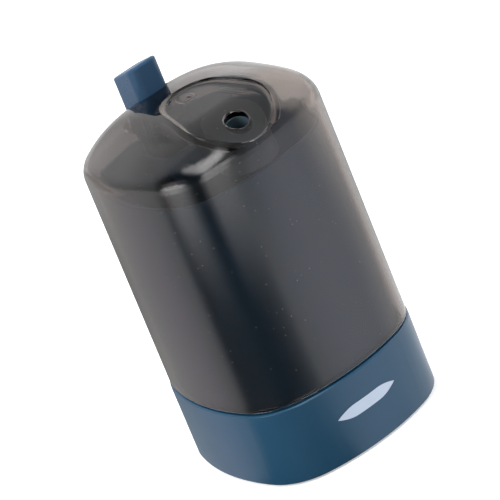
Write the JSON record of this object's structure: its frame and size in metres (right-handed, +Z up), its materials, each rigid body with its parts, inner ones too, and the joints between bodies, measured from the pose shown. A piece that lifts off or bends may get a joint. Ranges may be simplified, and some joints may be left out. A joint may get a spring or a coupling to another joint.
{
  "type": "toothpick dispenser",
  "caption": "Rounded square push-button toothpick dispenser: blue base and inner container, smoked domed cover with a scooped dish and outlet hole, lever-driven ejector inside.",
  "frame": {"origin": "on the ground under the centre of the rounded square plan", "axes": "+Z up, -Y towards the front face with the outlet hole, +X to the right seen from the front"},
  "size_m": [0.062, 0.062, 0.11],
  "materials": {
    "blue_plastic": "satin blue moulded plastic",
    "blue_button": "satin blue moulded plastic",
    "blue_container": "satin blue moulded plastic, seen through the cover",
    "smoked_cover": "clear smoke-grey moulded plastic, polished",
    "smoked_funnel": "clear smoke-grey moulded plastic",
    "ramp_plastic": "blue moulded plastic",
    "mechanism_plastic": "natural white acetal",
    "bush_plastic": "natural white acetal",
    "foot_rubber": "matte black rubber",
    "screw_steel": "zinc-plated steel",
    "pin_steel": "bright steel",
    "spring_steel": "bright spring steel"
  },
  "bodies": {
    "base": {"base_shell": "blue_plastic", "base_plate": "blue_plastic", "foot_front_left": "foot_rubber", "foot_front_right": "foot_rubber", "foot_rear_left": "foot_rubber", "foot_rear_right": "foot_rubber", "base_plate_screws": "screw_steel", "hopper": "blue_container", "hopper_screws": "screw_steel", "feed_ramp": "ramp_plastic", "rod_bush": "bush_plastic", "ejector_bush": "bush_plastic", "lever_bracket": "mechanism_plastic", "bracket_screws": "screw_steel", "rocker_axle": "pin_steel", "return_spring": "spring_steel"},
    "cover": {"cover_shell": "smoked_cover", "outlet_funnel": "smoked_funnel"},
    "button": {"button_cap": "blue_button", "push_rod": "mechanism_plastic", "rod_pin": "pin_steel"},
    "lever": {"rocker_lever": "mechanism_plastic"},
    "ejector": {"ejector_rod": "mechanism_plastic", "ejector_pin": "pin_steel"}
  },
  "joints": [
    {"name": "button_press", "type": "slide", "parent": "base", "child": "button", "axis": [0, 0, -1], "range_m": [0, 0.0075], "stiffness_N_per_m": 300, "springref_m": -0.002, "deforming": ["return_spring"]},
    {"name": "lever_tilt", "type": "hinge", "parent": "base", "child": "lever", "pos_m": [0, 0.00697, 0.0123], "axis": [-1, 0, 0], "range_deg": [0, 29.4]},
    {"name": "ejector_lift", "type": "slide", "parent": "base", "child": "ejector", "axis": [0, 0, 1], "range_m": [0, 0.01505]},
    {"name": "cover_lift", "type": "slide", "parent": "base", "child": "cover", "axis": [0, 0, 1], "range_m": [0, 0.07]}
  ],
  "couplings": [
    {"joint": "lever_tilt", "follows": "button_press", "rad_per_m": 68.235},
    {"joint": "ejector_lift", "follows": "button_press", "ratio": 2}
  ]
}
